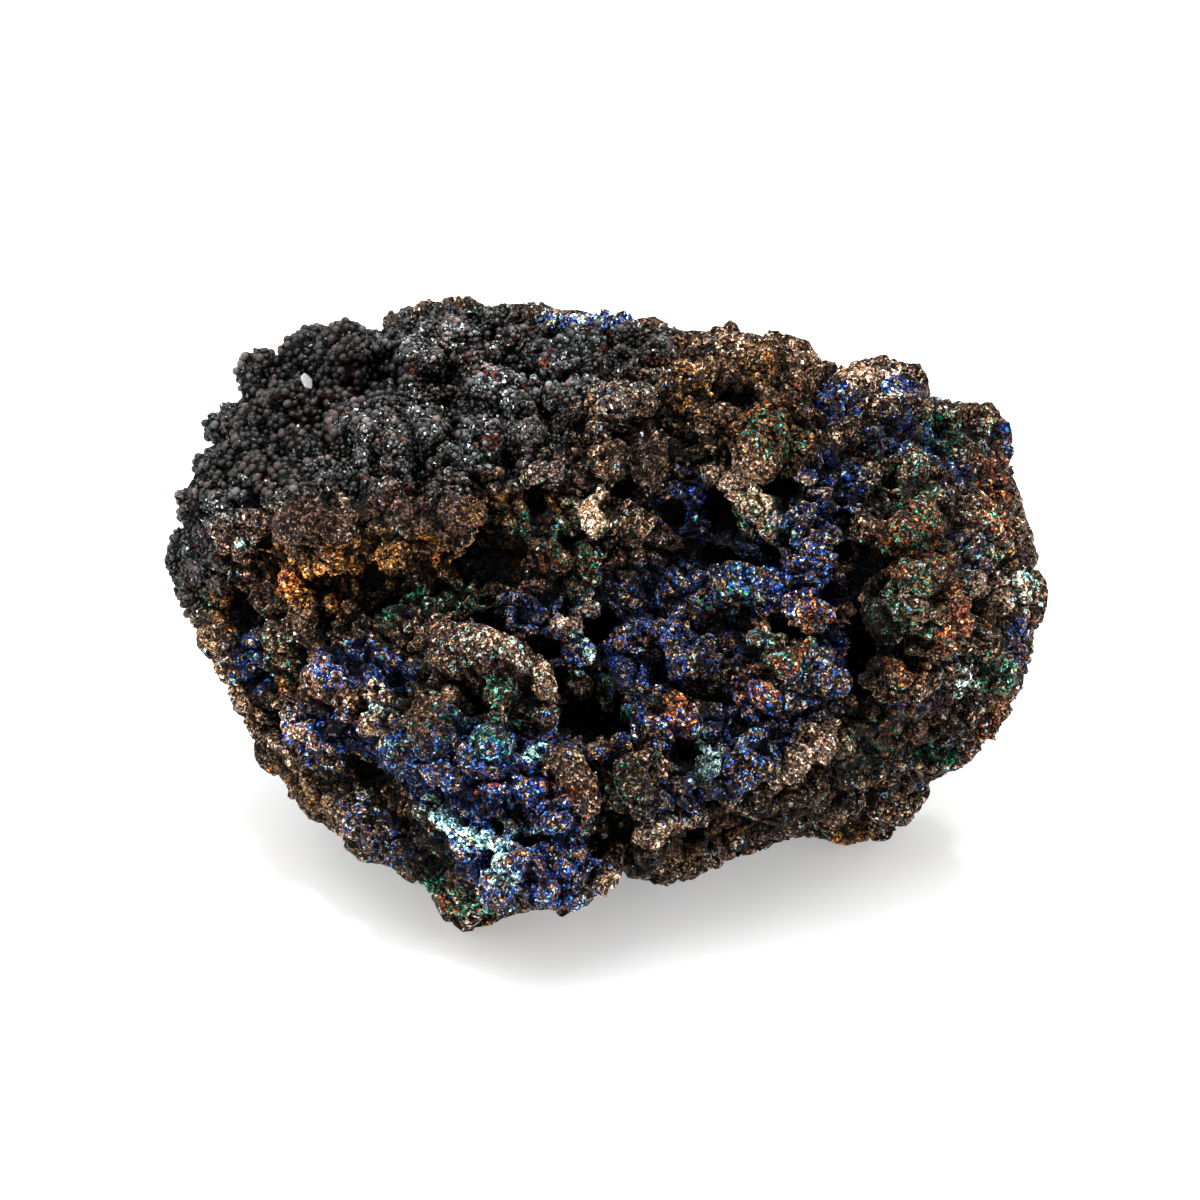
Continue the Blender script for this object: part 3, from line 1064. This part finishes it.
def bead_material():
    s = Shading("goethite_beads")
    colour = s.steps(s.attribute("own"), [(0, BLACK), (0.5, CHARCOAL), (1.0, SLATE)], "LINEAR")
    tint = s.mix(s.fall(s.noise(6.0), 0.42, 0.6, 0.0, 1.0), (1, 1, 1, 1), (1.25, 0.75, 0.62, 1))
    colour = s.mix(1.0, colour, tint, "MULTIPLY")
    colour = s.mix(1.0, colour, s.attribute("tone"), "MULTIPLY")
    s.shade("Base Color", colour)
    s.shade("Roughness", s.span(s.noise(0.2), 0.3, 0.6))
    s.shade("Normal", s.bump(s.noise(0.16, 3.0), 0.05))
    s.shade("Specular IOR Level", 0.5)
    return s.material


def packed(seats, radius, order, most, closeness):
    """The seats in this order, without those too close to one taken already."""
    taken = {}
    kept = []
    cell = 2 * radius.max()
    for i in order:
        here = tuple(np.floor(seats[i] / cell).astype(int))
        near = itertools.product(*[(value - 1, value, value + 1) for value in here])
        rivals = [j for key in near for j in taken.get(key, ())]
        gaps = np.linalg.norm(seats[rivals] - seats[i], axis=1)
        if np.all(gaps > closeness * (radius[rivals] + radius[i])):
            taken.setdefault(here, []).append(i)
            kept.append(i)
        if len(kept) == most:
            break
    return np.array(kept)


def grow_beads(surface, bead_seats, rng):
    """The botryoidal goethite: beads grown into one another, side by side."""
    seats, out, shown, light = surface.spread(110000, rng)
    cap = column(shown, "goethite") - 0.5 * column(shown, "mauve")
    round_share = beaded(seats, out, bead_seats)
    luck = rng.random(len(seats)) * ramp(out @ TOWARDS, -0.6, 0.3)
    material = bead_material()
    kinds = (
        ("goethite_beads", round_share, BEAD_SIZES, BEADS, ball(2), 0.8),
        ("goethite_small_beads", 1 - round_share, SMALL_BEAD_SIZES, SMALL_BEADS, ball(1), 0.72),
    )
    for name, share, span, most, form, closeness in kinds:
        fit = np.nonzero(cap * share > 0.5)[0]
        radius = rng.uniform(*span, len(seats))
        kept = packed(seats, radius, fit[np.argsort(-luck[fit])], most, closeness)
        sizes = radius[kept][:, None] * rng.uniform(0.88, 1.12, (len(kept), 3))
        numbers = {"own": rng.random(len(kept)), "tone": light[kept]}
        beads = scatter(name, form, seats[kept], turned_frames(out[kept], 0.2, rng), sizes,
                        0.3 * radius[kept], numbers, material)
        beads.data.shade_smooth()


def lay_flake(surface):
    """The small white flake that lies on the cap's beads."""
    tree = BVHTree.FromPolygons(surface.points.tolist(), surface.triangles.tolist())
    point, normal = seat(tree, *FLAKE_PLACE)
    bm = bmesh.new()
    bmesh.ops.create_uvsphere(bm, u_segments=28, v_segments=14, radius=1)
    out = Vector(normal + TOWARDS).normalized()
    along = Vector(RIGHT * 0.42 - UP).normalized()
    along = (along - out * along.dot(out)).normalized()
    aside = out.cross(along)
    for vert in bm.verts:
        x, y, z = vert.co
        edge = 1 + 0.05 * math.sin(5 * math.atan2(y, x)) + 0.03 * math.sin(11 * math.atan2(y, x))
        spot = along * (FLAKE_SIZE[0] * x * edge) + aside * (FLAKE_SIZE[1] * y * edge)
        spot += out * (FLAKE_SIZE[2] * z + FLAKE_RISE)
        vert.co = (Vector(point) + spot) * MM
    mesh = bpy.data.meshes.new("white_flake")
    bm.to_mesh(mesh)
    bm.free()
    flake = linked("white_flake", mesh)
    flake.data.shade_smooth()
    s = Shading("white_flake")
    veined = s.steps(s.noise(0.22, 4.0), [(0.3, (0.3, 0.3, 0.3)), (0.7, (0.62, 0.62, 0.6))], "LINEAR")
    s.shade("Base Color", veined)
    s.shade("Normal", s.bump(s.noise(0.15), 0.05))
    s.shade("Roughness", 0.5)
    dress(flake, s.material)
    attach(flake, "root")


# The light: suns by the direction they shine from, their spread (degrees) and strength, and lamps by
# place (m), size (m) and power (W).
SUNS = [
    ("sky", (-0.08, -0.16, 1.0), 55, 1.4), ("left", (-0.9, -0.3, 0.9), 70, 0.9),
    ("right", (0.9, -0.3, 0.9), 70, 0.9),
]
LAMPS = [("key", (-0.12, -0.06, 0.58), 0.1, 1.3), ("glint", (0.2, 0.2, 0.5), 0.06, 0.7)]
LAMPS_AIM = (0, 0, 0.025)
ROOM_LIGHT = 0.55
FLOOR_HALF_SIZE = 4


def add_light(name, kind, strength, shines):
    """A light that shines this way."""
    light = bpy.data.lights.new(name, kind)
    light.energy = strength
    obj = linked(name, light)
    obj.rotation_euler = shines.to_track_quat("-Z", "Y").to_euler()
    return obj


def build_stage():
    """A plain white table under wide, soft light from above and from both sides."""
    bm = bmesh.new()
    bmesh.ops.create_grid(bm, x_segments=1, y_segments=1, size=FLOOR_HALF_SIZE)
    mesh = bpy.data.meshes.new("floor")
    bm.to_mesh(mesh)
    bm.free()
    floor = linked("floor", mesh)
    s = Shading("floor")
    s.shade("Base Color", (0.86, 0.86, 0.86, 1))
    s.shade("Emission Color", (1, 1, 1, 1))
    s.shade("Emission Strength", 0.38)
    s.shade("Roughness", 0.9)
    s.shade("Specular IOR Level", 0.1)
    dress(floor, s.material)
    for name, place, spread, strength in SUNS:
        sun = add_light(name, "SUN", strength, -Vector(place))
        sun.data.angle = math.radians(spread)
    for name, place, size, power in LAMPS:
        lamp = add_light(name, "AREA", power, Vector(LAMPS_AIM) - Vector(place))
        lamp.data.shape = "DISK"
        lamp.data.size = size
        lamp.location = place
    world = bpy.data.worlds.new("studio")
    world.use_nodes = True
    background = world.node_tree.nodes["Background"]
    background.inputs["Color"].default_value = (1, 1, 1, 1)
    background.inputs["Strength"].default_value = ROOM_LIGHT
    bpy.context.scene.world = world


def build_camera():
    camera = bpy.data.cameras.new("camera")
    camera.sensor_width = SENSOR_MM
    camera.lens = SENSOR_MM * VIEW_DISTANCE / (LAYOUT * STEP)
    camera.clip_start = 0.02
    camera.clip_end = 20
    obj = linked("camera", camera)
    obj.location = Vector(EYE) * MM
    obj.rotation_euler = Vector(-TOWARDS).to_track_quat("-Z", "Y").to_euler()
    bpy.context.scene.camera = obj
    view = bpy.context.scene.view_settings
    view.view_transform = "Standard"
    view.look = "None"


def main():
    build_camera()
    build_stage()
    tree = cad_tree()
    seats = [seat(tree, patch.x, patch.y)[0] for patch in PATCHES]
    skin = build_skin(seats)
    dress(skin, skin_material())
    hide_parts(NODE)
    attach(skin, "root")
    surface = Surface(skin)
    bead_seats = [seat(tree, patch.x, patch.y)[0] for patch in BEADED]
    rng = np.random.default_rng(5)
    grow_beads(surface, bead_seats, rng)
    grow_druses(surface, rng)
    lay_flake(surface)


main()
